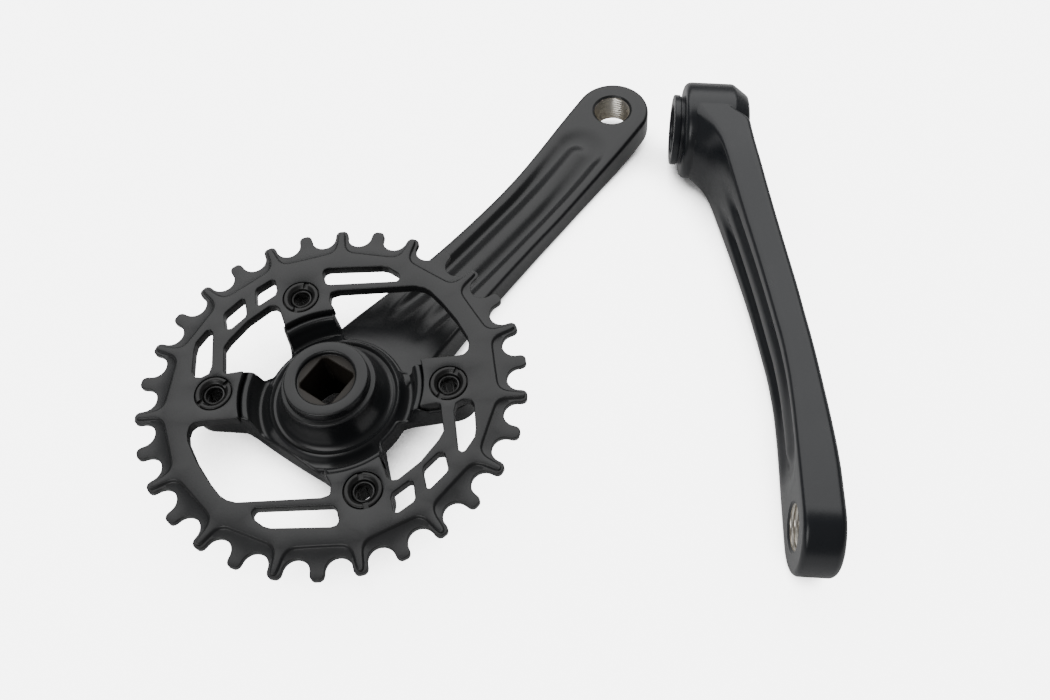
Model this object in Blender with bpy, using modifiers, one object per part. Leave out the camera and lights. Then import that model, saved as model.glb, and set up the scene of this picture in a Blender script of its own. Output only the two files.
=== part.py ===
"""Square-taper bicycle crankset: drive-side crank with integral four-arm spider,
narrow-wide chainring held by four bolts and four sleeve nuts, and the left crank arm.

World frame: metres, +Z up, the parts rest on the plane z = 0.
Each crank has its own local frame: x from spindle axis to pedal axis,
z along the spindle axis towards the bicycle (inboard), origin in the chainring plane
for the drive side and at the matching plane for the left side.
"""
import math

import bmesh
import bpy
from mathutils import Matrix, Vector

MM = 0.001
GAP = 0.3

# ---- driving dimensions, millimetres --------------------------------------------
TEETH = 30
PITCH = 12.7
PITCH_R = PITCH / (2.0 * math.sin(math.pi / TEETH))
ROLLER_SEAT_R = 4.35
TIP_R = 63.2
NARROW_T = 2.1
WIDE_T = 3.8
TOOTH_RIM_IN_R = 51.6

BOLT_CIRCLE_R = 38.0
BOLT_ANGLES = (55.0, 125.0, 235.0, 305.0)
NUT_FLANGE_R = 5.9
NUT_FLANGE_T = 1.3
NUT_SLEEVE_R = 4.9
NUT_BORE_R = 3.9
BOLT_SHANK_R = 3.6
BOLT_HEAD_R = 6.0
BOLT_HEAD_T = 2.0
BOLT_HEX_AF = 4.6

CRANK_LENGTH = 170.0
FACE_Z = 8.5
BOSS_OUT_Z = -20.0
BOSS_FACE_R = 13.5
BOSS_RIM_R = 15.3
MOUTH_R = 9.3
MOUTH_DEPTH = 1.6
TAPER_MOUTH = 13.0
TAPER_END = 12.2
EXTRACTOR_R = 10.6
EXTRACTOR_DEPTH = 9.5
PEDAL_BORE_R = 7.1
PEDAL_IN_Z = -26.0
PEDAL_OUT_Z = -39.0
PEDAL_END_R = 14.6
ARM_EDGE_R = 2.4
GROOVE_Y = 6.3
GROOVE_HALF = 3.0
GROOVE_DEPTH = 2.6
GROOVE_END_X = 145.0

SPIDER_DISC_R = 23.4
SPIDER_SHELF_Z = -2.2
SPIDER_BACK_Z = -10.2
LIP_R = 29.7
TAB_IN_R = 30.0
LEFT_BOSS_R = 18.5

# ---- stance on the floor ---------------------------------------------------------
DRIVE_TILT = math.radians(6.9)
DRIVE_HEADING = math.radians(55.5)
DRIVE_XY = (-46.9, -47.1)
LEFT_HEADING = math.radians(-94.0)
LEFT_XY = (81.6, 79.5)

# stations along a crank: distance from the spindle axis, value
HALF_WIDTH = ((4, 12.6), (12, 15.2), (20, 17.3), (29, 17.2), (42, 15.9), (55, 14.8),
              (66, 14.2), (81, 13.6), (100, 13.3), (120, 13.4), (140, 13.9),
              (155, 14.4), (170, 14.6), (190, 14.6))
DRIVE_TOP = ((4, -5.0), (16, -5.0), (22, -6.0), (28, -7.6), (38, -10.4), (50, -13.3),
             (62, -15.9), (74, -18.3), (86, -20.5), (98, -22.5), (112, -24.6),
             (126, -25.7), (140, -26.0), (190, -26.0))
LEFT_TOP = ((4, 3.6), (14, 3.4), (17.5, 2.0), (20, -1.4), (23, -4.9), (28, -7.7),
            (38, -10.6), (50, -13.4), (62, -15.9), (74, -18.3), (86, -20.5),
            (98, -22.5), (112, -24.6), (126, -25.7), (140, -26.0), (190, -26.0))
BACK = ((4, -18.8), (12, -19.4), (20, -20.4), (29, -21.9), (45, -24.7), (66, -28.4),
        (86, -31.8), (98, -33.5), (108, -34.88), (118, -36.04), (127, -36.95),
        (138, -37.95), (150, -38.75), (158, -39.0), (190, -39.0))
STATIONS = (4, 9, 14, 17.5, 20, 23, 27, 32, 38, 45, 53, 62, 72, 83, 95, 107, 118, 127,
            134, 140, 144.5, 147.5, 150, 152.5, 155, 162, 170)
END_ANGLES = (17, 33, 48, 60, 70, 78, 84)

for old in list(bpy.data.objects):
    bpy.data.objects.remove(old, do_unlink=True)

parts = bpy.data.collections.new("crankset")
tools = bpy.data.collections.new("cutters")
bpy.context.scene.collection.children.link(parts)
bpy.context.scene.collection.children.link(tools)


# ---- helpers ---------------------------------------------------------------------
def material(name, colour, roughness, metallic):
    mat = bpy.data.materials.new(name)
    mat.use_nodes = True
    shader = mat.node_tree.nodes["Principled BSDF"]
    shader.inputs["Base Color"].default_value = (colour[0], colour[1], colour[2], 1.0)
    shader.inputs["Roughness"].default_value = roughness
    shader.inputs["Metallic"].default_value = metallic
    mat.diffuse_color = (colour[0], colour[1], colour[2], 1.0)
    return mat


def add_object(name, mesh, collection, mat=None):
    obj = bpy.data.objects.new(name, mesh)
    collection.objects.link(obj)
    if mat is not None:
        mesh.materials.clear()
        mesh.materials.append(mat)
    if collection is tools:
        obj.hide_render = True
        obj.display_type = "WIRE"
    return obj


def smooth_by_angle(obj, degrees=32.0):
    for poly in obj.data.polygons:
        poly.use_smooth = True
    obj.data.set_sharp_from_angle(angle=math.radians(degrees))


def curve_value(table, x):
    """Monotone cubic through a table of (x, value) pairs."""
    xs = [row[0] for row in table]
    ys = [row[1] for row in table]
    if x <= xs[0]:
        return ys[0]
    if x >= xs[-1]:
        return ys[-1]
    count = len(xs)
    slope = [(ys[i + 1] - ys[i]) / (xs[i + 1] - xs[i]) for i in range(count - 1)]
    tangent = [slope[0]]
    for i in range(1, count - 1):
        if slope[i - 1] * slope[i] <= 0.0:
            tangent.append(0.0)
        else:
            tangent.append(2.0 * slope[i - 1] * slope[i] / (slope[i - 1] + slope[i]))
    tangent.append(slope[-1])
    i = max(k for k in range(count - 1) if xs[k] <= x)
    width = xs[i + 1] - xs[i]
    t = (x - xs[i]) / width
    h00 = 2 * t ** 3 - 3 * t ** 2 + 1
    h10 = t ** 3 - 2 * t ** 2 + t
    h01 = -2 * t ** 3 + 3 * t ** 2
    h11 = t ** 3 - t ** 2
    return (h00 * ys[i] + h10 * width * tangent[i]
            + h01 * ys[i + 1] + h11 * width * tangent[i + 1])


def turned(name, profile, segments, collection, mat=None):
    """Solid of revolution about Z from an (r, z) profile running top to bottom."""
    mesh = bpy.data.meshes.new(name)
    verts = [(r * MM, 0.0, z * MM) for r, z in profile]
    mesh.from_pydata(verts, [(i, i + 1) for i in range(len(verts) - 1)], [])
    obj = add_object(name, mesh, collection, mat)
    screw = obj.modifiers.new("turn", "SCREW")
    screw.axis = "Z"
    screw.steps = segments
    screw.render_steps = segments
    screw.use_merge_vertices = True
    screw.merge_threshold = 0.00001
    screw.use_smooth_shade = True
    return obj


def rounded(points, radius, steps=3):
    """Replace each corner of a closed outline by a short arc."""
    out = []
    count = len(points)
    for i in range(count):
        here = Vector(points[i])
        back = Vector(points[i - 1]) - here
        ahead = Vector(points[(i + 1) % count]) - here
        turn = math.pi - back.angle(ahead)
        reach = radius * math.tan(turn / 2.0)
        reach = min(reach, 0.45 * back.length, 0.45 * ahead.length)
        if turn < math.radians(12.0) or reach < 0.05:
            out.append((here.x, here.y))
            continue
        start = here + back.normalized() * reach
        end = here + ahead.normalized() * reach
        for k in range(steps + 1):
            t = k / steps
            p = (1 - t) ** 2 * start + 2 * t * (1 - t) * here + t ** 2 * end
            out.append((p.x, p.y))
    return out


def half_turn(points):
    return [(-x, -y) for x, y in points]


def circle(cx, cy, r, count):
    step = 2.0 * math.pi / count
    return [(cx + r * math.cos(i * step), cy + r * math.sin(i * step)) for i in range(count)]


def flat_solid(name, outlines, z_low, z_high, collection, mat=None):
    """Closed plate from flat outlines (first is the edge, the others are holes)."""
    data = bpy.data.curves.new(name + "_outline", "CURVE")
    data.dimensions = "2D"
    data.fill_mode = "BOTH"
    data.extrude = 0.5 * (z_high - z_low) * MM
    for outline in outlines:
        spline = data.splines.new("POLY")
        spline.points.add(len(outline) - 1)
        for point, (x, y) in zip(spline.points, outline):
            point.co = (x * MM, y * MM, 0.0, 1.0)
        spline.use_cyclic_u = True
    draft = bpy.data.objects.new(name + "_draft", data)
    tools.objects.link(draft)
    depsgraph = bpy.context.evaluated_depsgraph_get()
    mesh = bpy.data.meshes.new_from_object(draft.evaluated_get(depsgraph))
    bpy.data.objects.remove(draft, do_unlink=True)
    mesh.name = name
    bm = bmesh.new()
    bm.from_mesh(mesh)
    bmesh.ops.remove_doubles(bm, verts=bm.verts, dist=0.00001)
    bmesh.ops.recalc_face_normals(bm, faces=bm.faces)
    bmesh.ops.translate(bm, verts=bm.verts, vec=(0.0, 0.0, 0.5 * (z_low + z_high) * MM))
    bm.to_mesh(mesh)
    bm.free()
    return add_object(name, mesh, collection, mat)


def prism_cutter(name, half_low, half_high, z_low, z_high, sides, turn=0.0):
    """Tapered prism or cone along Z; half_* is the corner radius at each end."""
    bm = bmesh.new()
    bmesh.ops.create_cone(bm, cap_ends=True, segments=sides, radius1=half_low * MM,
                          radius2=half_high * MM, depth=(z_high - z_low) * MM)
    bmesh.ops.rotate(bm, verts=bm.verts, cent=(0, 0, 0),
                     matrix=Matrix.Rotation(turn, 3, "Z"))
    bmesh.ops.translate(bm, verts=bm.verts, vec=(0, 0, 0.5 * (z_low + z_high) * MM))
    mesh = bpy.data.meshes.new(name)
    bm.to_mesh(mesh)
    bm.free()
    return add_object(name, mesh, tools)


def boolean(obj, other, operation):
    mod = obj.modifiers.new(operation.lower(), "BOOLEAN")
    mod.operation = operation
    mod.object = other
    mod.solver = "EXACT"
    return mod


def groove_drop(x, y):
    """How far the pair of long grooves sinks the inboard face at a point."""
    reach = abs(y) if x < GROOVE_END_X else math.hypot(x - GROOVE_END_X, y)
    off = abs(reach - GROOVE_Y) / GROOVE_HALF
    if off >= 1.0:
        return 0.0
    fade = min(1.0, max(0.0, (x - 30.0) / 26.0))
    fade = fade * fade * (3.0 - 2.0 * fade)
    return GROOVE_DEPTH * fade * 0.5 * (1.0 + math.cos(math.pi * off))


def arm_ring(x, half, top, back, edge):
    """One closed cross-section of a crank arm, from lower left round to the start."""
    flat = half - edge
    spread = min(1.0, flat / 10.8)
    inner = [0.0, 1.7, 3.3, 4.3, 5.3, 6.3, 7.3, 8.3, 9.3]
    across = [-v * spread for v in reversed(inner[1:])] + [v * spread for v in inner]
    ring = []
    for k in range(4):
        a = math.radians(270.0 - 30.0 * k)
        ring.append((x, -flat + edge * math.cos(a), back + edge + edge * math.sin(a)))
    for k in range(4):
        a = math.radians(180.0 - 30.0 * k)
        ring.append((x, -flat + edge * math.cos(a), top - edge + edge * math.sin(a)))
    for y in across:
        ring.append((x, y, top - groove_drop(x, y)))
    for k in range(4):
        a = math.radians(90.0 - 30.0 * k)
        ring.append((x, flat + edge * math.cos(a), top - edge + edge * math.sin(a)))
    for k in range(4):
        a = math.radians(0.0 - 30.0 * k)
        ring.append((x, flat + edge * math.cos(a), back + edge + edge * math.sin(a)))
    for y in (6.0, 0.0, -6.0):
        ring.append((x, y * spread, back))
    return ring


def crank_loft(name, top_table, collection, mat):
    """Crank arm lofted through sections that change from the boss to the pedal end."""
    rings = []
    for x in STATIONS:
        rings.append(arm_ring(x, curve_value(HALF_WIDTH, x), curve_value(top_table, x),
                              curve_value(BACK, x), ARM_EDGE_R))
    for degrees in END_ANGLES:
        a = math.radians(degrees)
        x = CRANK_LENGTH + PEDAL_END_R * math.sin(a)
        half = PEDAL_END_R * math.cos(a)
        past = max(0.0, PEDAL_END_R * math.sin(a) - (PEDAL_END_R - ARM_EDGE_R))
        drop = ARM_EDGE_R - math.sqrt(max(0.0, ARM_EDGE_R ** 2 - past ** 2))
        edge = min(ARM_EDGE_R, 0.7 * half)
        rings.append(arm_ring(x, half, curve_value(top_table, x) - drop,
                              curve_value(BACK, x) + drop, edge))
    verts = [(x * MM, y * MM, z * MM) for ring in rings for x, y, z in ring]
    count = len(rings[0])
    faces = []
    for i in range(len(rings) - 1):
        for j in range(count):
            k = (j + 1) % count
            a, b = i * count, (i + 1) * count
            faces.append((a + j, a + k, b + k, b + j))
    faces.append(tuple(range(count - 1, -1, -1)))
    last = (len(rings) - 1) * count
    faces.append(tuple(last + j for j in range(count)))
    mesh = bpy.data.meshes.new(name)
    mesh.from_pydata(verts, [], faces)
    bm = bmesh.new()
    bm.from_mesh(mesh)
    bmesh.ops.recalc_face_normals(bm, faces=bm.faces)
    bm.to_mesh(mesh)
    bm.free()
    return add_object(name, mesh, collection, mat)


def bolt_xy(degrees):
    a = math.radians(degrees)
    return BOLT_CIRCLE_R * math.cos(a), BOLT_CIRCLE_R * math.sin(a)


# ---- finishes --------------------------------------------------------------------
drive_black = material("drive_crank_black", (0.016, 0.018, 0.021), 0.42, 0.35)
left_black = material("left_crank_black", (0.018, 0.020, 0.024), 0.40, 0.35)
ring_black = material("chainring_black", (0.030, 0.031, 0.033), 0.48, 0.45)
nut_black = material("sleeve_nut_black", (0.024, 0.025, 0.027), 0.36, 0.7)
bolt_black = material("chainring_bolt_black", (0.014, 0.014, 0.016), 0.38, 0.7)

# ---- parent empties: one per crank, carrying its stance ---------------------------
drive_frame = bpy.data.objects.new("drive_frame", None)
left_frame = bpy.data.objects.new("left_frame", None)
parts.objects.link(drive_frame)
parts.objects.link(left_frame)

rest_low = -15.2 * math.sin(DRIVE_TILT) + BOSS_OUT_Z * math.cos(DRIVE_TILT)
drive_frame.matrix_world = (
    Matrix.Translation((DRIVE_XY[0] * MM, DRIVE_XY[1] * MM, -rest_low * MM))
    @ Matrix.Rotation(DRIVE_HEADING, 4, "Z")
    @ Matrix.Rotation(-DRIVE_TILT, 4, "Y"))

edge_slope = math.asin((LEFT_BOSS_R - PEDAL_END_R) / CRANK_LENGTH)
left_frame.matrix_world = (
    Matrix.Translation((LEFT_XY[0] * MM, LEFT_XY[1] * MM, LEFT_BOSS_R * MM))
    @ Matrix.Rotation(LEFT_HEADING, 4, "Z")
    @ Matrix.Rotation(edge_slope, 4, "Y")
    @ Matrix.Rotation(math.radians(90.0), 4, "X"))

# ---- drive crank: lofted arm, turned boss and spider, bores -----------------------
spider_profile = (
    (0.0, FACE_Z), (BOSS_FACE_R - 0.7, FACE_Z), (BOSS_FACE_R, FACE_Z - 0.7),
    (BOSS_FACE_R, 5.3), (BOSS_FACE_R + 0.5, 4.8), (BOSS_RIM_R - 0.4, 4.8),
    (BOSS_RIM_R, 4.3), (15.45, 2.6), (15.9, 0.4), (16.8, -2.0), (18.2, -4.0),
    (19.3, -4.7), (20.2, -4.5), (20.9, -3.9), (21.7, -4.1), (22.6, -5.4), (23.6, -7.2),
    (24.8, -7.6), (25.9, -6.6), (26.6, -4.2), (26.9, -1.6), (27.4, -0.2), (28.2, 0.2),
    (29.0, 0.1), (29.5, -0.3), (LIP_R, -0.9), (LIP_R, SPIDER_SHELF_Z),
    (49.0, SPIDER_SHELF_Z), (49.0, SPIDER_BACK_Z), (28.0, SPIDER_BACK_Z),
    (24.0, -10.8), (20.5, -12.6), (18.6, -15.4), (17.6, -18.6), (16.6, -19.7),
    (15.2, BOSS_OUT_Z), (0.0, BOSS_OUT_Z))
spider = turned("spider_turning", spider_profile, 52, tools)


def spider_outline():
    """Plan of the spider: a disc with four tapered arms ending round the bolts."""
    disc = SPIDER_DISC_R
    outline = []
    half_root, half_tip = 8.9, 7.9
    for index, degrees in enumerate(BOLT_ANGLES):
        a = math.radians(degrees)
        along = Vector((math.cos(a), math.sin(a)))
        side = Vector((-along.y, along.x))
        outline.append(tuple(along * 28.0 - side * half_root))
        outline.append(tuple(along * 37.0 - side * half_tip))
        for k in range(1, 8):
            t = math.radians(-90.0 + 22.5 * k)
            outline.append(tuple(along * (BOLT_CIRCLE_R + half_tip * math.cos(t))
                                 + side * half_tip * math.sin(t)))
        outline.append(tuple(along * 37.0 + side * half_tip))
        outline.append(tuple(along * 28.0 + side * half_root))
        following = BOLT_ANGLES[(index + 1) % 4]
        gap = (following - degrees) % 360.0
        first = degrees + 24.0
        last = degrees + gap - 24.0
        steps = 4 if gap < 90.0 else 9
        for k in range(steps + 1):
            t = math.radians(first + (last - first) * k / steps)
            outline.append((disc * math.cos(t), disc * math.sin(t)))
    return rounded(outline, 5.0, 3)


spider_plan = flat_solid("spider_plan", [spider_outline()], -30.0, 20.0, tools)
boolean(spider, spider_plan, "INTERSECT")

drive_crank = crank_loft("drive_crank_arm", DRIVE_TOP, parts, drive_black)
boolean(drive_crank, spider, "UNION")

square = math.sqrt(2.0)


def bore_cutters(tag):
    seat_z = BOSS_OUT_Z + EXTRACTOR_DEPTH
    return (
        prism_cutter(tag + "_mouth", MOUTH_R, MOUTH_R, FACE_Z - MOUTH_DEPTH, FACE_Z + 5.0, 36),
        prism_cutter(tag + "_taper", TAPER_END / square, TAPER_MOUTH / square,
                     seat_z - 1.0, FACE_Z - MOUTH_DEPTH + 0.5, 4, math.radians(45.0)),
        prism_cutter(tag + "_extractor", EXTRACTOR_R, EXTRACTOR_R, BOSS_OUT_Z - 5.0,
                     seat_z, 36))


def pedal_cutter(tag):
    cutter = prism_cutter(tag + "_pedal_bore", PEDAL_BORE_R, PEDAL_BORE_R,
                          PEDAL_OUT_Z - 5.0, PEDAL_IN_Z + 5.0, 32)
    for vertex in cutter.data.vertices:
        vertex.co.x += CRANK_LENGTH * MM
    return cutter


for cutter in bore_cutters("drive") + (pedal_cutter("drive"),):
    boolean(drive_crank, cutter, "DIFFERENCE")

for number, degrees in enumerate(BOLT_ANGLES, start=1):
    cx, cy = bolt_xy(degrees)
    through = prism_cutter("spider_hole_%d" % number, NUT_SLEEVE_R + GAP, NUT_SLEEVE_R + GAP,
                           -30.0, 5.0, 24)
    seat = prism_cutter("spider_seat_%d" % number, BOLT_HEAD_R + GAP, BOLT_HEAD_R + GAP,
                        -30.0, SPIDER_BACK_Z + BOLT_HEAD_T + GAP, 28)
    for cutter in (through, seat):
        for vertex in cutter.data.vertices:
            vertex.co.x += cx * MM
            vertex.co.y += cy * MM
        boolean(drive_crank, cutter, "DIFFERENCE")

# ---- left crank: same loft, collared round boss ------------------------------------
left_crank = crank_loft("left_crank_arm", LEFT_TOP, parts, left_black)
left_profile = (
    (0.0, FACE_Z), (BOSS_FACE_R - 0.6, FACE_Z), (BOSS_FACE_R, FACE_Z - 0.6),
    (BOSS_FACE_R, 6.1), (BOSS_FACE_R - 0.5, 5.8), (BOSS_FACE_R - 0.5, 5.2),
    (BOSS_FACE_R, 4.9), (LEFT_BOSS_R - 2.2, 4.8), (LEFT_BOSS_R - 0.8, 4.2),
    (LEFT_BOSS_R, 2.6), (LEFT_BOSS_R, -13.0), (LEFT_BOSS_R - 0.5, -14.4),
    (LEFT_BOSS_R - 4.2, -19.4), (LEFT_BOSS_R - 5.2, BOSS_OUT_Z), (0.0, BOSS_OUT_Z))
left_boss = turned("left_boss_turning", left_profile, 52, tools)
boolean(left_crank, left_boss, "UNION")
for cutter in bore_cutters("left") + (pedal_cutter("left"),):
    boolean(left_crank, cutter, "DIFFERENCE")

# ---- chainring ----------------------------------------------------------------------
# tooth number 0 lies on the crank axis and is narrow; odd numbers are wide


def tooth_outline():
    points = []
    step = 2.0 * math.pi / TEETH
    for tooth in range(TEETH):
        axis = tooth * step
        valley = axis - 0.5 * step
        cx, cy = PITCH_R * math.cos(valley), PITCH_R * math.sin(valley)
        for degrees in (-78, -52, -26, 0, 26, 52, 78):
            t = valley + math.pi + math.radians(degrees) * -1.0
            points.append((cx + ROLLER_SEAT_R * math.cos(t), cy + ROLLER_SEAT_R * math.sin(t)))
        for side, radius in ((-1.75, TIP_R - 1.5), (-1.25, TIP_R - 0.4), (0.0, TIP_R),
                             (1.25, TIP_R - 0.4), (1.75, TIP_R - 1.5)):
            a = axis + side / radius
            points.append((radius * math.cos(a), radius * math.sin(a)))
    return points


def plate_outline():
    """Edge of the thick plate: runs out into wide teeth, passes inside narrow ones."""
    half = ((0.6, 62.4), (1.0, 60.8), (1.4, 58.6), (2.3, 56.5), (3.7, 55.1),
            (5.8, 54.4), (8.5, 53.8), (12.0, 53.4))
    points = []
    for tooth in range(1, TEETH, 2):
        centre = tooth * 360.0 / TEETH
        lower = [(-a, r) for a, r in reversed(half[:-1])]
        for a, r in lower + list(half):
            t = math.radians(centre + a)
            points.append((r * math.cos(t), r * math.sin(t)))
    return points


TAB_CORNER_SIDE = (24.1, 17.9)
TAB_CORNER_CROSS = (10.1, 28.3)


def tab_arc(start, end, steps=5):
    a0 = math.atan2(start[1], start[0])
    a1 = math.atan2(end[1], end[0])
    return [(TAB_IN_R * math.cos(a0 + (a1 - a0) * k / steps),
             TAB_IN_R * math.sin(a0 + (a1 - a0) * k / steps)) for k in range(steps + 1)]


def centre_opening():
    """Open middle of the ring: four tab edges and four windows between them."""
    right = [(24.1, -17.9), (31.2, -27.2), (33.0, -28.9), (34.9, -29.2), (37.0, -28.1),
             (38.8, -26.2), (42.3, -19.2), (45.2, -11.2), (46.8, -5.0), (46.8, -2.2),
             (45.8, 0.9), (30.6, 21.9), (28.4, 23.6), (25.7, 21.6)]
    upper = [(14.4, 34.6), (14.4, 36.6), (13.2, 37.9), (4.8, 40.1), (-4.0, 40.4),
             (-7.3, 39.9), (-14.6, 33.2), (-10.3, 28.2)]
    first = tab_arc(TAB_CORNER_SIDE, TAB_CORNER_CROSS)
    second = tab_arc((-10.1, 28.3), (-24.1, 17.9))
    half = rounded(right, 1.2, 2) + first + rounded(upper[:-1], 1.0, 2) + second
    return half + half_turn(half)


LONG_SLOT = [(-47.0, -13.2), (-46.9, -8.8), (-45.8, -7.2), (-44.2, -7.2), (-30.7, -26.4),
             (-30.9, -28.2), (-33.4, -31.2), (-34.8, -31.5), (-36.2, -30.4), (-46.3, -15.4)]
SLOT_A = [(-20.7, 40.8), (-19.9, 42.5), (-13.4, 47.8), (-10.9, 49.2), (-5.5, 49.5),
          (-4.6, 48.9), (-4.8, 47.3), (-14.5, 38.7), (-17.2, 37.5), (-19.6, 38.7)]
SLOT_B = [(-1.5, 44.5), (2.2, 48.7), (3.3, 49.0), (10.3, 48.0), (10.8, 47.0), (6.8, 42.6),
          (5.6, 42.1), (-0.3, 43.0)]
SLOT_C = [(11.3, 42.2), (15.2, 46.0), (16.4, 46.3), (21.8, 44.5), (22.2, 43.3), (19.4, 40.0),
          (17.8, 39.3), (11.9, 41.1)]
windows = [rounded(slot, 0.9, 2) for slot in (LONG_SLOT, SLOT_A, SLOT_B, SLOT_C)]
windows = windows + [half_turn(slot) for slot in windows]
nut_holes = [circle(*bolt_xy(a), NUT_SLEEVE_R + GAP, 24) for a in BOLT_ANGLES]

half_plate = 0.5 * WIDE_T
chainring = flat_solid("chainring", [plate_outline(), centre_opening()] + windows + nut_holes,
                       -half_plate, half_plate, parts, ring_black)
rim = flat_solid("tooth_rim", [tooth_outline(), circle(0, 0, TOOTH_RIM_IN_R, 60)],
                 -0.5 * NARROW_T, 0.5 * NARROW_T, tools)
boolean(chainring, rim, "UNION")
for number, degrees in enumerate(BOLT_ANGLES, start=1):
    cx, cy = bolt_xy(degrees)
    seat = prism_cutter("ring_seat_%d" % number, NUT_FLANGE_R + GAP, NUT_FLANGE_R + GAP,
                        half_plate - NUT_FLANGE_T - GAP, half_plate + 4.0, 28)
    for vertex in seat.data.vertices:
        vertex.co.x += cx * MM
        vertex.co.y += cy * MM
    boolean(chainring, seat, "DIFFERENCE")

# ---- chainring bolts and sleeve nuts ---------------------------------------------------
nut_top = half_plate + 0.1
nut_low = -5.6
nut_profile = (
    (NUT_BORE_R, nut_top - 0.5), (NUT_BORE_R + 0.45, nut_top), (NUT_FLANGE_R - 0.4, nut_top),
    (NUT_FLANGE_R, nut_top - 0.35), (NUT_FLANGE_R, nut_top - NUT_FLANGE_T),
    (NUT_SLEEVE_R, nut_top - NUT_FLANGE_T), (NUT_SLEEVE_R, nut_low + 0.3),
    (NUT_SLEEVE_R - 0.3, nut_low), (NUT_BORE_R, nut_low), (NUT_BORE_R, nut_top - 0.5))
bolt_back = SPIDER_BACK_Z + 0.1
bolt_seat = bolt_back + BOLT_HEAD_T
bolt_top = 0.7
bolt_profile = (
    (0.0, bolt_top), (BOLT_SHANK_R - 0.4, bolt_top), (BOLT_SHANK_R, bolt_top - 0.4),
    (BOLT_SHANK_R, bolt_seat), (BOLT_HEAD_R - 0.3, bolt_seat), (BOLT_HEAD_R, bolt_seat - 0.3),
    (BOLT_HEAD_R, bolt_back + 0.5), (BOLT_HEAD_R - 0.6, bolt_back), (0.0, bolt_back))
hex_r = BOLT_HEX_AF / math.sqrt(3.0)

notch_bm = bmesh.new()
bmesh.ops.create_cube(notch_bm, size=1.0)
bmesh.ops.scale(notch_bm, verts=notch_bm.verts, vec=(30.0 * MM, 1.5 * MM, 1.8 * MM))
bmesh.ops.translate(notch_bm, verts=notch_bm.verts, vec=(0, 0, (nut_top + 0.1) * MM))
notch_mesh = bpy.data.meshes.new("nut_notch")
notch_bm.to_mesh(notch_mesh)
notch_bm.free()

NUT_TURNS = (20.0, -14.0, 48.0, 5.0)
for number, degrees in enumerate(BOLT_ANGLES, start=1):
    cx, cy = bolt_xy(degrees)
    place = Matrix.Translation((cx * MM, cy * MM, 0.0))

    nut = turned("chainring_nut_%d" % number, nut_profile, 24, parts, nut_black)
    nut.parent = drive_frame
    nut.matrix_local = place @ Matrix.Rotation(math.radians(NUT_TURNS[number - 1]), 4, "Z")
    notch = add_object("nut_notch_%d" % number, notch_mesh, tools)
    notch.parent = nut
    boolean(nut, notch, "DIFFERENCE")

    bolt = turned("chainring_bolt_%d" % number, bolt_profile, 20, parts, bolt_black)
    bolt.parent = drive_frame
    bolt.matrix_local = place
    socket = prism_cutter("bolt_hex_%d" % number, hex_r, hex_r, -20.0, 10.0, 6)
    socket.parent = bolt
    boolean(bolt, socket, "DIFFERENCE")

# ---- put everything on its crank's frame ------------------------------------------------
for obj in list(parts.objects) + list(tools.objects):
    if obj in (drive_frame, left_frame) or obj.parent is not None:
        continue
    obj.parent = left_frame if obj.name.startswith("left") else drive_frame

for obj in (drive_crank, left_crank, chainring):
    smooth_by_angle(obj)
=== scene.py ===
# %% [markdown]
# # A bicycle crankset, piece by piece
# A crankset is the pair of levers that the pedals turn. The drive-side crank carries the chainring,
# the left crank is a plain lever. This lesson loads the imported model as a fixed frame, and then makes
# the fine surface of every piece in the place that the frame gives it.

# %% load the frame
import math

import bpy
import numpy as np
from mathutils import Matrix
from mathutils import geometry


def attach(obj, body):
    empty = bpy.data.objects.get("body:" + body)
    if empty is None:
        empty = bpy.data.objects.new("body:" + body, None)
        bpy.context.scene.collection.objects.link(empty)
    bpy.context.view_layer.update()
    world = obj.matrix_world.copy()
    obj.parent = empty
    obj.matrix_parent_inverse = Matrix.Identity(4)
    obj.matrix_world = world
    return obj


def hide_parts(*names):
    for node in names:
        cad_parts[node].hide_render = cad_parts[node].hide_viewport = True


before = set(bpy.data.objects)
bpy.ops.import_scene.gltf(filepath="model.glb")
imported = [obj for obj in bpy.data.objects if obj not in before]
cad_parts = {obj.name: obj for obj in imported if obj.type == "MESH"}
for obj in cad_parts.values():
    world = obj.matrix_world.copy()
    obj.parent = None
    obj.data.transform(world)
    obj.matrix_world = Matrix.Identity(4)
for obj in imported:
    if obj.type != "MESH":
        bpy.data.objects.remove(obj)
bpy.context.view_layer.update()
scene = bpy.context.scene
MM = 0.001

# %% [markdown]
# Each crank is drawn in its own frame: x runs from the spindle to the pedal, z points inboard, towards
# the bicycle, and the origin is in the plane of the chainring. Two matrices then stand the cranks on
# the floor. The drive crank lies on its outboard side, tilted a little, because the pedal end
# is further out than the boss. The left crank stands on its narrow edge.

# %% where the two cranks lie
LENGTH = 170.0
EYE_R = 14.6
BOSS_OUT = -20.0
DRIVE_TILT = math.radians(6.9)
drive_height = 15.2 * math.sin(DRIVE_TILT) - BOSS_OUT * math.cos(DRIVE_TILT)
DRIVE = (Matrix.Translation((-46.9 * MM, -47.1 * MM, drive_height * MM))
         @ Matrix.Rotation(math.radians(55.5), 4, "Z") @ Matrix.Rotation(-DRIVE_TILT, 4, "Y"))
LEFT = (Matrix.Translation((81.6 * MM, 79.5 * MM, 18.5 * MM))
        @ Matrix.Rotation(math.radians(-94.0), 4, "Z")
        @ Matrix.Rotation(math.asin((18.5 - EYE_R) / LENGTH), 4, "Y")
        @ Matrix.Rotation(math.radians(90.0), 4, "X"))
print("drive spindle axis at", [round(v, 4) for v in DRIVE.translation])

# %% [markdown]
# Everything here is a surface on a grid: a block of points in rows and columns, joined into four-sided
# faces. Rows or columns that close on themselves make tubes and rings, and a grid that closes both ways
# is a solid with a hole through it, like a nut. The helper also checks the enclosed volume: if it comes
# out negative the faces look inwards, and they are all turned round.

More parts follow.
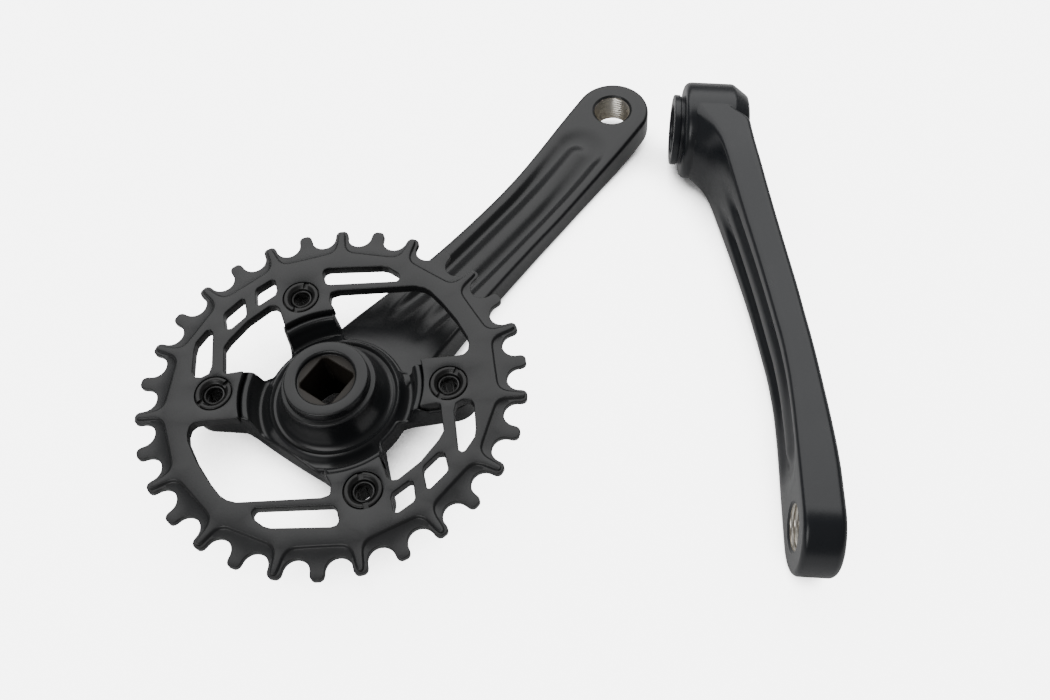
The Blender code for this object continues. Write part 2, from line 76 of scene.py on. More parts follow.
# %% grids into meshes
def grid_faces(rows, columns, close_rows=False, close_columns=True, start=0):
    """Corner numbers of the faces between neighbouring rows and columns of a grid of points."""
    r = np.arange(rows if close_rows else rows - 1)
    c = np.arange(columns if close_columns else columns - 1)
    r, c = np.meshgrid(r, c, indexing="ij")
    r2, c2 = (r + 1) % rows, (c + 1) % columns
    quads = np.stack([r * columns + c, r * columns + c2, r2 * columns + c2, r2 * columns + c], -1)
    return quads.reshape(-1, 4) + start


def enclosed_volume(points, faces):
    """Sum of the signed tetrahedra between the origin and each face, split into triangles."""
    total = 0.0
    for face in (faces if isinstance(faces, list) else [faces]):
        for k in range(1, face.shape[1] - 1):
            a, b, c = points[face[:, 0]], points[face[:, k]], points[face[:, k + 1]]
            total += float(np.sum(a * np.cross(b, c))) / 6.0
    return total


def make_mesh(name, points, face_sets, place=Matrix.Identity(4), merge=2e-7):
    """A closed mesh from points in millimetres and arrays of faces, put in its place and merged."""
    points = np.asarray(points, float).reshape(-1, 3)
    face_sets = [np.asarray(f) for f in face_sets if len(f)]
    if enclosed_volume(points, face_sets) < 0.0:
        face_sets = [f[:, ::-1] for f in face_sets]
    turn = np.array(place.to_3x3())
    points = points * MM @ turn.T + np.array(place.translation)
    mesh = bpy.data.meshes.new(name)
    mesh.from_pydata(points.tolist(), [], [row for f in face_sets for row in f.tolist()])
    piece = bpy.data.objects.new(name, mesh)
    scene.collection.objects.link(piece)
    if merge:
        weld = piece.modifiers.new("weld", "WELD")
        weld.merge_threshold = merge
        settle(piece)
    return piece


def settle(piece):
    """Bakes a piece's modifiers into its mesh."""
    graph = bpy.context.evaluated_depsgraph_get()
    graph.update()
    mesh = bpy.data.meshes.new_from_object(piece.evaluated_get(graph))
    piece.modifiers.clear()
    old = piece.data
    piece.data = mesh
    bpy.data.meshes.remove(old)
    mesh.name = piece.name


def combine(piece, other, operation):
    """Joins another closed solid to the piece or cuts it away, and removes the other solid."""
    step = piece.modifiers.new("combine", "BOOLEAN")
    step.operation = operation
    step.solver = "MANIFOLD"
    step.object = other
    settle(piece)
    bpy.data.objects.remove(other, do_unlink=True)


# %% [markdown]
# A forging has no straight lines along it. Its width and height are given at a few stations, and a
# monotone cubic runs through them, because it never swings past a station the way a free spline does.

# %% smooth curves through stations
def through(stations, x):
    """Monotone cubic through pairs of (distance, value): slopes are harmonic means of the neighbours."""
    xs, ys = np.array(stations, float).T
    gap = np.diff(xs)
    rise = np.diff(ys) / gap
    slope = np.concatenate([rise[:1], np.zeros(len(xs) - 2), rise[-1:]])
    same = rise[:-1] * rise[1:] > 0
    slope[1:-1][same] = (2 * rise[:-1] * rise[1:])[same] / (rise[:-1] + rise[1:])[same]
    x = np.clip(x, xs[0], xs[-1])
    i = np.clip(np.searchsorted(xs, x, side="right") - 1, 0, len(xs) - 2)
    t = (x - xs[i]) / gap[i]
    return ((2 * t ** 3 - 3 * t ** 2 + 1) * ys[i] + (t ** 3 - 2 * t ** 2 + t) * gap[i] * slope[i]
            + (3 * t ** 2 - 2 * t ** 3) * ys[i + 1] + (t ** 3 - t ** 2) * gap[i] * slope[i + 1])


def flowing(points, step=0.35):
    """Catmull-Rom curve through plane points, sampled at about equal steps."""
    p = np.array(points, float)
    p = np.vstack([2 * p[0] - p[1], p, 2 * p[-1] - p[-2]])
    out = []
    for i in range(1, len(p) - 2):
        n = max(1, int(np.hypot(*(p[i + 1] - p[i])) / step))
        t = (np.arange(n) / n)[:, None]
        out.append(0.5 * (2 * p[i] + (p[i + 1] - p[i - 1]) * t
                          + (2 * p[i - 1] - 5 * p[i] + 4 * p[i + 1] - p[i + 2]) * t ** 2
                          + (3 * p[i] - p[i - 1] - 3 * p[i + 1] + p[i + 2]) * t ** 3))
    return np.vstack(out + [p[-2][None]])


def soft_step(x, low, high):
    """0 below low, 1 above high, and a smooth S between them."""
    t = np.clip((x - low) / (high - low), 0.0, 1.0)
    return t * t * (3.0 - 2.0 * t)


def edge_drop(distance, radius):
    """How far a rounded edge has fallen at a distance in from the outline."""
    short = np.clip(radius - distance, 0.0, radius)
    return radius - np.sqrt(np.maximum(radius ** 2 - short ** 2, 0.0))


# %% [markdown]
# ## The lever
# Both levers come from one forging die: wide at the boss, waisted, and wide again round the pedal eye.
# The inboard face has two long grooves that leave a rib between them and meet in a crescent before the
# eye. It is a loft: one closed cross-section carried along x, with its width and height taken from
# tables of stations, and the grooves, the rounded edges and the round end all come from formulas.

# %% the shape of a lever
WIDTHS = ((2, 18.25), (10, 18.0), (20, 17.6), (29, 17.1), (42, 15.9), (55, 14.8), (66, 14.2),
          (81, 13.6), (100, 13.3), (120, 13.4), (140, 13.9), (155, 14.4), (170, 14.6), (190, 14.6))
DRIVE_TOP = ((4, -5.0), (16, -5.0), (22, -6.0), (28, -7.6), (38, -10.4), (50, -13.3), (62, -15.9),
             (74, -18.3), (86, -20.5), (98, -22.5), (112, -24.6), (126, -25.7), (140, -26.0),
             (190, -26.0))
LEFT_TOP = ((4, 3.6), (14, 3.4), (17.5, 2.0), (20, -1.4), (23, -4.9), (28, -7.7), (38, -10.6),
            (50, -13.4), (62, -15.9), (74, -18.3), (86, -20.5), (98, -22.5), (112, -24.6),
            (126, -25.7), (140, -26.0), (190, -26.0))
BACKS = ((4, -18.8), (12, -19.4), (20, -20.4), (29, -21.9), (45, -24.7), (66, -28.4), (86, -31.8),
         (98, -33.5), (108, -34.88), (118, -36.04), (127, -36.95), (138, -37.95), (150, -38.75),
         (158, -39.0), (190, -39.0))
GROOVE_Y = 6.3
GROOVE_END = 143.0
START_R = 14.0
START_X = 6.1


def groove(x, y):
    """Depth of the two grooves: a cosine valley at GROOVE_Y from the middle line, bent round the end.
    Its inner side runs almost to the middle line, which leaves a rounded rib. Towards the eye it gets
    shallower and its sides longer."""
    reach = np.where(x < GROOVE_END, np.abs(y), np.hypot(x - GROOVE_END, y))
    ahead = np.clip((x - GROOVE_END) / np.maximum(reach, 1.0), 0.0, 1.0)
    far = soft_step(x, 108.0, GROOVE_END)
    width = np.where(reach < GROOVE_Y, 5.4 + 0.8 * far, 3.5 + 1.5 * far + 3.5 * ahead)
    off = np.clip((reach - GROOVE_Y) / width, -1.0, 1.0)
    depth = soft_step(x, 30.0, 56.0) * (2.5 - 0.7 * far - 0.5 * ahead)
    return depth * (0.5 + 0.5 * np.cos(np.pi * off))


def lever(name, tops, place, front_edge=1.7, back_edge=2.6):
    """Loft: each section runs over the inboard face, down a side, under the back and up again.
    The first section follows a circle round the spindle, so that it starts hidden in the boss."""
    along = np.concatenate([np.linspace(START_X, 30.0, 22), np.arange(31.2, LENGTH, 1.25),
                            LENGTH + EYE_R * np.sin(np.radians(np.linspace(0.0, 90.0, 26)))])[:, None]
    half = np.where(along <= LENGTH, through(WIDTHS, along),
                    np.sqrt(np.maximum(EYE_R ** 2 - (along - LENGTH) ** 2, 0.0)))
    bend = np.radians(np.array([90, 76, 62, 48, 34, 20, 8]))
    front_in = front_edge * (1 - np.sin(bend)) * np.minimum(1.0, 0.6 * half / front_edge)
    back_in = back_edge * (1 - np.sin(bend)) * np.minimum(1.0, 0.6 * half / back_edge)
    lanes = np.array([0.0, 0.9, 1.8, 2.6, 3.2, 3.7, 4.2, 4.7, 5.2, 5.7, 6.3, 6.9, 7.4, 7.9, 8.4,
                      8.9, 9.4, 9.9, 10.6])
    spread = np.minimum(1.0, (half - front_edge * np.minimum(1.0, 0.6 * half / front_edge)) / 11.4)
    inner = lanes * spread
    top_y = np.hstack([-(half - front_in), -inner[:, :0:-1], inner, (half - front_in)[:, ::-1]])
    low = np.linspace(-0.9, 0.9, 11)
    back_reach = half - back_in
    back_y = np.hstack([back_reach, low[::-1] * back_reach[:, -1:], -back_reach[:, ::-1]])
    fade = np.clip((20.0 - along) / 13.9, 0.0, 1.0)

    def x_of(y):
        """Distance along the lever; the first sections bend to the circle of START_R."""
        return along + fade * (np.sqrt(np.maximum(START_R ** 2 - y ** 2, 4.0)) - START_X)

    def inside(y):
        """How far a point of the section lies within the lever's outline."""
        return np.maximum(np.where(along > LENGTH, EYE_R - np.hypot(along - LENGTH, y),
                                   half - np.abs(y)), 0.0)

    top_x, back_x = x_of(top_y), x_of(back_y)
    round_boss = 1.0 - soft_step(top_x, 20.0, 60.0)
    from_boss = top_x + (np.hypot(top_x, top_y) - top_x) * round_boss
    top_z = through(tops, from_boss) - groove(top_x, top_y) - edge_drop(inside(top_y), front_edge)
    heel = 6.5 * (1.0 - soft_step(back_x, 3.0, 11.5)) * soft_step(np.abs(back_y), 12.5, 17.5)
    back_z = through(BACKS, back_x) + edge_drop(inside(back_y), back_edge) + heel
    down = np.linspace(0.0, 1.0, 8)[1:-1]

    def side(sign, first_z, last_z, first_x, last_x):
        """Six points down one side, evenly spaced between the two faces."""
        z = first_z + (last_z - first_z) * down
        x = first_x + (last_x - first_x) * down
        return x, np.broadcast_to(sign * half, z.shape), z

    rx, ry, rz = side(1.0, top_z[:, -1:], back_z[:, :1], top_x[:, -1:], back_x[:, :1])
    lx, ly, lz = side(-1.0, back_z[:, -1:], top_z[:, :1], back_x[:, -1:], top_x[:, :1])
    ring = np.stack([np.hstack([top_x, rx, back_x, lx]), np.hstack([top_y, ry, back_y, ly]),
                     np.hstack([top_z, rz, back_z, lz])], -1)
    rows, columns = ring.shape[:2]
    first = np.arange(columns)[None, :]
    return make_mesh(name, ring, [grid_faces(rows, columns), first[:, ::-1]], place)


# %% [markdown]
# ## Boss and spider
# Round the spindle everything is turned, so rows are circles and columns are directions. The chainring
# is carried by four short arms that grow out of the disc. Their outline seen from above is star-shaped:
# each direction meets it once. So one grid does it all: the circles simply stop at the outline,
# then the rows go over a rounded edge, down a wall with a little forging draft, back along the underside
# and up through the square socket.

# %% outlines as distance against direction
COLUMNS = 480
TURN = 2.0 * np.pi * np.arange(COLUMNS) / COLUMNS
BOLTS = np.radians([55.0, 125.0, 235.0, 305.0])
BOLT_R = 38.0
WEB_R = 23.4
WEB_X = 23.2


def rounded(corners, radius, steps=6):
    """Closed outline with each corner replaced by a short parabola that starts and ends on its sides."""
    p = np.array(corners, float)
    back, ahead = np.roll(p, 1, 0) - p, np.roll(p, -1, 0) - p
    lb, la = np.hypot(*back.T), np.hypot(*ahead.T)
    cosine = np.clip(np.sum(back * ahead, 1) / (lb * la), -1, 1)
    turn = np.pi - np.arccos(cosine)
    reach = np.minimum(radius * np.tan(turn / 2), 0.45 * np.minimum(lb, la))[:, None]
    a, b = p + back / lb[:, None] * reach, p + ahead / la[:, None] * reach
    t = np.linspace(0, 1, steps + 1)[None, :, None]
    arc = (1 - t) ** 2 * a[:, None] + 2 * t * (1 - t) * p[:, None] + t ** 2 * b[:, None]
    return arc.reshape(-1, 2)


def even(outline, step):
    """The same closed outline with points at equal steps along it."""
    loop = np.vstack([outline, outline[:1]])
    run = np.concatenate([[0], np.cumsum(np.hypot(*np.diff(loop, axis=0).T))])
    n = int(run[-1] / step)
    at = np.arange(n) * run[-1] / n
    return np.stack([np.interp(at, run, loop[:, k]) for k in (0, 1)], 1)


def inset(outline, distance):
    """Each point moved to the left of the outline's direction, which is inwards if it runs round
    anticlockwise."""
    ahead = np.roll(outline, -1, 0) - np.roll(outline, 1, 0)
    ahead /= np.hypot(*ahead.T)[:, None]
    return outline + np.stack([-ahead[:, 1], ahead[:, 0]], 1) * distance


def by_direction(outline):
    """Distance from the centre to a star-shaped outline in each of the grid's directions."""
    a = np.arctan2(outline[:, 1], outline[:, 0]) % (2 * np.pi)
    order = np.argsort(a)
    return np.interp(TURN, a[order], np.hypot(*outline[order].T), period=2 * np.pi)


def spider_corners():
    """Four arms 17.8 mm wide at the root that end round the bolts, round webs of WEB_R between them,
    and a straight web at WEB_X on the side away from the lever."""
    out = []
    for k, a in enumerate(BOLTS):
        along, across = np.array([np.cos(a), np.sin(a)]), np.array([-np.sin(a), np.cos(a)])
        out += [along * 28 - across * 8.9, along * 37 - across * 7.9]
        for t in np.radians(np.arange(-75, 76, 15)):
            out.append(along * (BOLT_R + 7.9 * np.cos(t)) + across * 7.9 * np.sin(t))
        out += [along * 37 + across * 7.9, along * 28 + across * 8.9]
        gap = (BOLTS[(k + 1) % 4] - a) % (2 * np.pi)
        for t in np.linspace(a + np.radians(24), a + gap - np.radians(24), 7 if gap < 1.6 else 15):
            r = WEB_R if k != 1 else min(27.0, WEB_X / abs(np.cos(t)))
            out.append(np.array([r * np.cos(t), r * np.sin(t)]))
    return out


SPIDER = even(rounded(spider_corners(), 5.0), 0.4)
print("spider outline of", len(SPIDER), "points, reach", round(by_direction(SPIDER).max(), 2), "mm")


# %% [markdown]
# A crank sits on its spindle with a square hole that narrows a little towards the outboard end, so that
# it wedges tight. Outboard of it is a wide thread for the extractor that pulls the crank off again. In
# the grid these are just more rows: a square one takes its distances from the sides of a square.

# %% the square socket and the parts of a boss that both cranks share
def square(half, corner_r):
    """Distance to the sides of a square hole in each direction, with its corners cut round."""
    flat = half / np.maximum(np.abs(np.cos(TURN)), np.abs(np.sin(TURN)))
    return -np.log(np.exp(-flat * 9) + np.exp(-corner_r * 9)) / 9


def ring_row(radius, z):
    """One row of the grid: a distance and a height for every direction."""
    return np.stack([np.broadcast_to(radius, TURN.shape), np.broadcast_to(z, TURN.shape)], 0)


def socket_rows():
    """From the boss's back face up through the extractor thread, the square taper and the mouth."""
    rows = [ring_row(12.2, BOSS_OUT), ring_row(11.3, BOSS_OUT + 0.05), ring_row(10.75, BOSS_OUT + 0.6)]
    for z in np.arange(BOSS_OUT + 0.9, -10.9, 0.25):
        phase = (z / 1.0 - TURN / (2 * np.pi)) % 1.0
        rows.append(ring_row(10.6 + 0.32 * (1 - np.abs(2 * phase - 1)) - 0.1, z))
    rows += [ring_row(10.5, -10.6), ring_row(10.3, -10.5), ring_row(8.9, -10.5)]
    for z in np.linspace(-10.35, 6.6, 10):
        half = 6.1 + 0.4 * (z + 10.5) / 17.4
        rows.append(ring_row(square(half, half * 1.31), z))
    rows += [ring_row(square(6.72, 8.72), 6.85), ring_row(9.15, 6.95), ring_row(9.3, 7.05),
             ring_row(9.3, 7.75), ring_row(9.42, 8.12), ring_row(9.72, 8.4), ring_row(10.15, 8.5)]
    return rows


# %% [markdown]
# The inboard profile of the drive boss: a flat face, a groove behind the collar, then the dish that
# flares out to a thin raised ring, a trough across each arm, and a rounded lip that the chainring's
# tabs sit against. The lip ends in a step down to the shelf under the tabs.

# %% the drive boss and spider in one grid
def drive_boss():
    """Rows of circles along the profile, cut short by the spider's outline, and the rows of its edge."""
    collar = [(11.6, 8.5), (12.9, 8.5), (13.22, 8.42), (13.42, 8.22), (13.5, 7.9), (13.5, 6.6),
              (13.5, 5.7), (13.55, 5.25), (13.75, 4.98), (14.1, 4.9), (14.75, 4.88), (15.08, 4.78),
              (15.27, 4.55)]
    dish = flowing([(15.33, 4.2), (15.42, 2.8), (15.7, 1.0), (16.3, -0.9), (17.1, -2.7), (18.1, -4.1),
                    (19.1, -4.75), (19.9, -4.6), (20.4, -4.05), (20.85, -3.78), (21.35, -4.05),
                    (22.0, -4.9), (22.9, -6.0), (24.2, -6.9), (25.3, -6.7), (26.1, -5.2),
                    (26.6, -3.0), (26.95, -1.2), (27.5, -0.2), (28.3, 0.12), (29.0, 0.08),
                    (29.45, -0.2), (29.7, -0.75)], 0.42)
    shelf = [(29.75, -2.0), (29.95, -2.2), (34.0, -2.2), (38.0, -2.2), (42.0, -2.2), (46.5, -2.2)]
    profile = np.vstack([collar, dish, shelf])
    edge = 1.0
    stop = by_direction(inset(SPIDER, edge))
    last_z = np.interp(stop, profile[:, 0], profile[:, 1])
    rows = [ring_row(np.minimum(r, stop), np.where(r < stop, z, last_z)) for r, z in profile]
    for bend in np.radians([18, 36, 54, 72, 90]):
        r = by_direction(inset(SPIDER, edge * (1 - np.sin(bend))))
        rows.append(ring_row(r, last_z - edge * (1 - np.cos(bend))))
    outer = by_direction(SPIDER)
    under = through(((15, -20.0), (16.4, -19.8), (17.3, -19.0), (18.2, -16.4), (20, -13.2),
                     (23, -11.2), (28, -10.2), (60, -10.2)), outer)
    for t in (0.3, 0.6, 0.9):
        top = last_z - edge
        rows.append(ring_row(outer + 0.9 * t, top + (under + 0.7 - top) * t))
    low = outer + 0.9
    for bend in np.radians([30, 60, 90]):
        rows.append(ring_row(low - 0.7 * (1 - np.cos(bend)), under + 0.7 * (1 - np.sin(bend))))
    back = flowing([(46.0, -10.2), (38.0, -10.2), (30.0, -10.2), (26.0, -10.5), (22.6, -11.4),
                    (20.0, -13.2), (18.7, -15.6), (17.9, -18.0), (17.3, -19.2), (16.5, -19.8),
                    (15.4, -20.0), (13.8, -20.0)], 1.1)
    for r, z in back:
        rows.append(ring_row(np.minimum(r, low - 0.7), np.where(r < low - 0.7, z, under)))
    grid = np.stack(rows + socket_rows(), 0)
    points = np.stack([grid[:, 0] * np.cos(TURN), grid[:, 0] * np.sin(TURN), grid[:, 1]], -1)
    return make_mesh("drive_boss", points, [grid_faces(len(points), COLUMNS, True)], DRIVE)


# %% [markdown]
# The left crank has no spider. Its boss is a plain barrel, so the outline is gone and every row is a
# full circle. Its outboard end, the heel, is chamfered.

# %% the left boss
def left_boss():
    """The same socket in a plain round boss: a collar with a thin groove, and rounded shoulders."""
    collar = [(11.6, 8.5), (13.0, 8.5), (13.3, 8.42), (13.5, 8.2), (13.5, 6.5), (13.42, 6.2),
              (13.05, 6.05), (12.95, 5.7), (13.05, 5.3), (13.42, 5.15), (13.5, 4.95), (13.9, 4.82),
              (15.2, 4.8)]
    shoulder = flowing([(16.3, 4.7), (17.3, 4.35), (18.0, 3.7), (18.4, 2.8), (18.5, 1.8)], 0.3)
    wall = [(18.5, z) for z in np.linspace(1.0, -12.5, 10)]
    heel = flowing([(18.5, -13.0), (18.42, -13.6), (18.1, -14.3), (16.6, -16.5), (14.9, -18.9),
                    (14.3, -19.6), (13.4, -19.95), (12.6, -20.0)], 0.5)
    rows = [ring_row(r, z) for r, z in np.vstack([collar, shoulder, wall, heel])]
    grid = np.stack(rows + socket_rows(), 0)
    points = np.stack([grid[:, 0] * np.cos(TURN), grid[:, 0] * np.sin(TURN), grid[:, 1]], -1)
    return make_mesh("left_boss", points, [grid_faces(len(points), COLUMNS, True)], LEFT)


# %% [markdown]
# The pedal eye is tapped with 20 threads an inch. The thread is cut by a solid with the same helix on
# it: a tube of points whose radius rises and falls once for each pitch along the axis and once for each
# turn. It is 15 mm across at its roots, a little wider than the real 9/16 inch.

# %% cutters for the pedal thread and the chainring bolts
def turned_solid(name, rows_rz, place, columns=96, helix=None):
    """Solid of revolution closed by flat ends. helix adds pitch, depth and hand to its wall."""
    a = 2 * np.pi * np.arange(columns) / columns
    r, z = np.array(rows_rz, float).T
    r = np.repeat(r[:, None], columns, 1)
    z = np.repeat(z[:, None], columns, 1)
    if helix:
        pitch, depth, hand, low, high = helix
        phase = (z / pitch - hand * a / (2 * np.pi)) % 1.0
        inside = (z > low) & (z < high)
        r = r + inside * depth * (1 - np.abs(2 * phase - 1))
    points = np.stack([r * np.cos(a), r * np.sin(a), z], -1)
    ends = np.arange(columns)[None, :]
    last = (len(points) - 1) * columns
    return make_mesh(name, points, [grid_faces(len(points), columns), ends[:, ::-1], ends + last], place)


def pedal_cutter(place, hand):
    """A tapped bore with a chamfer at each mouth; hand is 1 for a right and -1 for a left thread."""
    wall = [(8.4, -24.0), (8.4, -25.7), (7.15, -26.6)]
    wall += [(6.95, z) for z in np.arange(-26.8, -38.2, -0.21)]
    wall += [(7.15, -38.4), (8.2, -39.3), (8.2, -41.0)]
    return turned_solid("pedal_thread", wall[::-1], place @ Matrix.Translation((LENGTH * MM, 0, 0)), 96,
                        (1.27, 0.55, hand, -38.3, -26.7))


def at_bolt(angle):
    """The place of a chainring bolt's axis on the bolt circle."""
    return DRIVE @ Matrix.Translation((BOLT_R * math.cos(angle) * MM, BOLT_R * math.sin(angle) * MM, 0))


def bolt_cutter(angle):
    """A stepped hole: room for the bolt's head from outboard, and a bore for the nut's sleeve."""
    wall = [(6.6, -13.0), (6.6, -10.4), (6.3, -10.0), (6.3, -7.9), (5.2, -7.9), (5.2, 1.0)]
    return turned_solid("bolt_hole", wall, at_bolt(angle), 64)


# %% [markdown]
# Now the parts are joined. The lever starts inside the boss, so a union leaves one clean skin, and the
# thread and the bolt holes are cut last, because then their edges stay sharp.

# %% make both cranks
drive_crank = lever("drive_crank_arm_surface", DRIVE_TOP, DRIVE)
combine(drive_crank, drive_boss(), "UNION")
combine(drive_crank, pedal_cutter(DRIVE, 1.0), "DIFFERENCE")
for angle in BOLTS:
    combine(drive_crank, bolt_cutter(angle), "DIFFERENCE")
left_crank = lever("left_crank_arm_surface", LEFT_TOP, LEFT)
combine(left_crank, left_boss(), "UNION")
combine(left_crank, pedal_cutter(LEFT, -1.0), "DIFFERENCE")
print("drive crank", len(drive_crank.data.polygons), "left crank", len(left_crank.data.polygons))

# %% [markdown]
# ## The chainring
# The ring is a plate with two thicknesses. The thick part runs out into every second tooth and fills
# the wide links of the chain; the thin rim alone makes the narrow teeth between them. Cutting windows
# out of a solid would leave knife edges, so the ring is built from its outlines instead. Each
# outline carries its own small profile over the edge, down the wall and round the lower edge, and
# the flat faces are then filled in between.

# %% outlines of the ring
TEETH = 30
PITCH_R = 12.7 / (2 * math.sin(math.pi / TEETH))
STEP = 2 * np.pi / TEETH


def polar(angle, radius):
    """Plane points from a direction and a distance."""
    return np.stack([radius * np.cos(angle), radius * np.sin(angle)], -1)


def tooth_line():
    """Roller seats of 4.15 mm radius between the teeth, joined by blunt tips."""
    seat = np.radians(-np.linspace(-80, 80, 15))
    tip = np.array([(-2.20, 61.3), (-2.05, 62.1), (-1.6, 62.8), (-0.85, 63.2), (0.85, 63.2),
                    (1.6, 62.8), (2.05, 62.1), (2.20, 61.3)])
    out = []
    for tooth in range(TEETH):
        valley = tooth * STEP - STEP / 2
        out.append(polar(valley, PITCH_R) + 4.15 * np.stack([np.cos(valley + np.pi + seat),
                                                             np.sin(valley + np.pi + seat)], -1))
        out.append(polar(tooth * STEP + tip[:, 0] / tip[:, 1], tip[:, 1]))
    return even(np.vstack(out), 0.42)


def plate_line():
    """Edge of the thick plate: out to the tip of each odd tooth and in behind each even one."""
    half = np.array([(0.7, 62.2), (1.1, 61.3), (1.35, 60.0), (1.55, 58.4), (1.9, 56.8), (2.55, 55.3),
                     (3.6, 54.35), (5.1, 53.9), (8.0, 53.6), (12.0, 53.45)])
    one = np.vstack([half[::-1][1:] * (-1, 1), [(0, 62.45)], half])
    out = [polar(np.radians(12.0 * tooth + one[:, 0]), one[:, 1]) for tooth in range(1, TEETH, 2)]
    return even(flowing(np.vstack(out + [out[0][:1]]), 0.35)[:-1], 0.42)


def half_turn(outline):
    """The same outline turned by 180 degrees about the middle of the ring."""
    return -outline


def tab_arc(start, end):
    """Ten points of the 30 mm circle between two directions: the inner edge of a bolt tab."""
    a, b = math.atan2(start[1], start[0]), math.atan2(end[1], end[0])
    return [tuple(polar(a + (b - a) * k / 9, 30.0)) for k in range(10)]


RIGHT = [(24.1, -17.9), (31.2, -27.2), (33.0, -28.9), (34.9, -29.2), (37.0, -28.1), (38.8, -26.2),
         (42.3, -19.2), (45.2, -11.2), (46.8, -5.0), (46.8, -2.2), (45.8, 0.9), (30.6, 21.9),
         (28.4, 23.6), (25.7, 21.6)]
UPPER = [(14.4, 34.6), (14.4, 36.6), (13.2, 37.9), (4.8, 40.1), (-4.0, 40.4), (-7.3, 39.9),
         (-14.6, 33.2)]
HALF_OPENING = (RIGHT + tab_arc((24.1, 17.9), (10.1, 28.3)) + UPPER
                + tab_arc((-10.1, 28.3), (-24.1, 17.9))[:-1])
OPENING = rounded(HALF_OPENING + [(-x, -y) for x, y in HALF_OPENING], 1.1)
SLOTS = [
    [(-47.0, -13.2), (-46.9, -8.8), (-45.8, -7.2), (-44.2, -7.2), (-30.7, -26.4), (-30.9, -28.2),
     (-33.4, -31.2), (-34.8, -31.5), (-36.2, -30.4), (-46.3, -15.4)],
    [(-20.7, 40.8), (-19.9, 42.5), (-13.4, 47.8), (-10.9, 49.2), (-5.5, 49.5), (-4.6, 48.9),
     (-4.8, 47.3), (-14.5, 38.7), (-17.2, 37.5), (-19.6, 38.7)],
    [(-1.5, 44.5), (2.2, 48.7), (3.3, 49.0), (10.3, 48.0), (10.8, 47.0), (6.8, 42.6), (5.6, 42.1),
     (-0.3, 43.0)],
    [(11.3, 42.2), (15.2, 46.0), (16.4, 46.3), (21.8, 44.5), (22.2, 43.3), (19.4, 40.0),
     (17.8, 39.3), (11.9, 41.1)]]
WINDOWS = [even(rounded(s, 0.9), 0.45) for s in SLOTS]
WINDOWS += [half_turn(w) for w in WINDOWS]
print("ring windows:", len(WINDOWS) + 4, "counting the four open to the middle")


# %% [markdown]
# The shell is kept as loops of point numbers. Two neighbouring loops make a band of faces, and a flat
# face with many holes is left to a Delaunay triangulation, which works with any number of loops.

# %% build the ring as one closed shell
class Shell:
    """Collects loops of points, the bands between neighbouring loops and the flat fills."""

    def __init__(self):
        """Starts with no points and no faces."""
        self.points, self.bands, self.count = [], [], 0

    def loop(self, outline, z):
        """Adds an outline at one height and returns the numbers of its points."""
        self.points.append(np.column_stack([outline, np.full(len(outline), z)]))
        self.count += len(outline)
        return np.arange(self.count - len(outline), self.count)

    def wall(self, outline, profile, solid_side, narrow=1.0):
        """Carries (distance into the solid, height) pairs round an outline; returns its two ends.
        narrow scales the distances point by point where the solid is slim."""
        ccw = np.sum(outline[:, 0] * np.roll(outline[:, 1], -1)
                     - np.roll(outline[:, 0], -1) * outline[:, 1]) > 0
        sign = solid_side if ccw else -solid_side
        loops = [self.loop(inset(outline, sign * d * narrow), z) for d, z in profile]
        for a, b in zip(loops[:-1], loops[1:]):
            quad = np.stack([a, np.roll(a, -1), np.roll(b, -1), b], -1)
            self.bands.append(quad[:, ::-1] if ccw == (solid_side > 0) else quad)
        return loops[0], loops[-1]

    def fill(self, loops, up):
        """Triangles between an outer loop and the loops inside it, on one level. A triangle with all
        its corners on one inner loop, turning the way that loop turns, lies in the hole."""
        points = np.vstack(self.points)
        index = np.concatenate(loops)
        owner = np.repeat(np.arange(len(loops)), [len(one) for one in loops])
        edges, start, ways = [], 0, []
        for one in loops:
            n = len(one)
            edges += [(start + k, start + (k + 1) % n) for k in range(n)]
            start += n
            x, y = points[one, 0], points[one, 1]
            ways.append(np.sign(np.sum(x * np.roll(y, -1) - np.roll(x, -1) * y)))
        flat = [tuple(p) for p in points[index, :2]]
        _, _, faces, origin, _, _ = geometry.delaunay_2d_cdt(flat, edges, [], 1, 1e-7)
        back = np.array([o[0] for o in origin])
        corner = np.sort(back[np.array(faces)], axis=1)
        a, b, c = (points[index[corner[:, k]], :2] for k in range(3))
        turn = (b[:, 0] - a[:, 0]) * (c[:, 1] - a[:, 1]) - (b[:, 1] - a[:, 1]) * (c[:, 0] - a[:, 0])
        one_loop = (owner[corner] == owner[corner][:, :1]).all(axis=1) & (owner[corner[:, 0]] > 0)
        hole = one_loop & (turn * np.array(ways)[owner[corner[:, 0]]] > 0)
        tri = index[corner]
        wrong = (turn > 0) != up
        tri[wrong] = tri[wrong][:, ::-1]
        self.bands.append(tri[~hole])


def edge_profile(top, bottom, radius):
    """Rounded upper edge, straight wall, rounded lower edge."""
    bend = np.radians(np.array([0, 22.5, 45, 67.5, 90]))
    upper = [(radius * (1 - math.sin(b)), top - radius * (1 - math.cos(b))) for b in bend]
    return upper + [(d, top + bottom - z) for d, z in upper[::-1]]


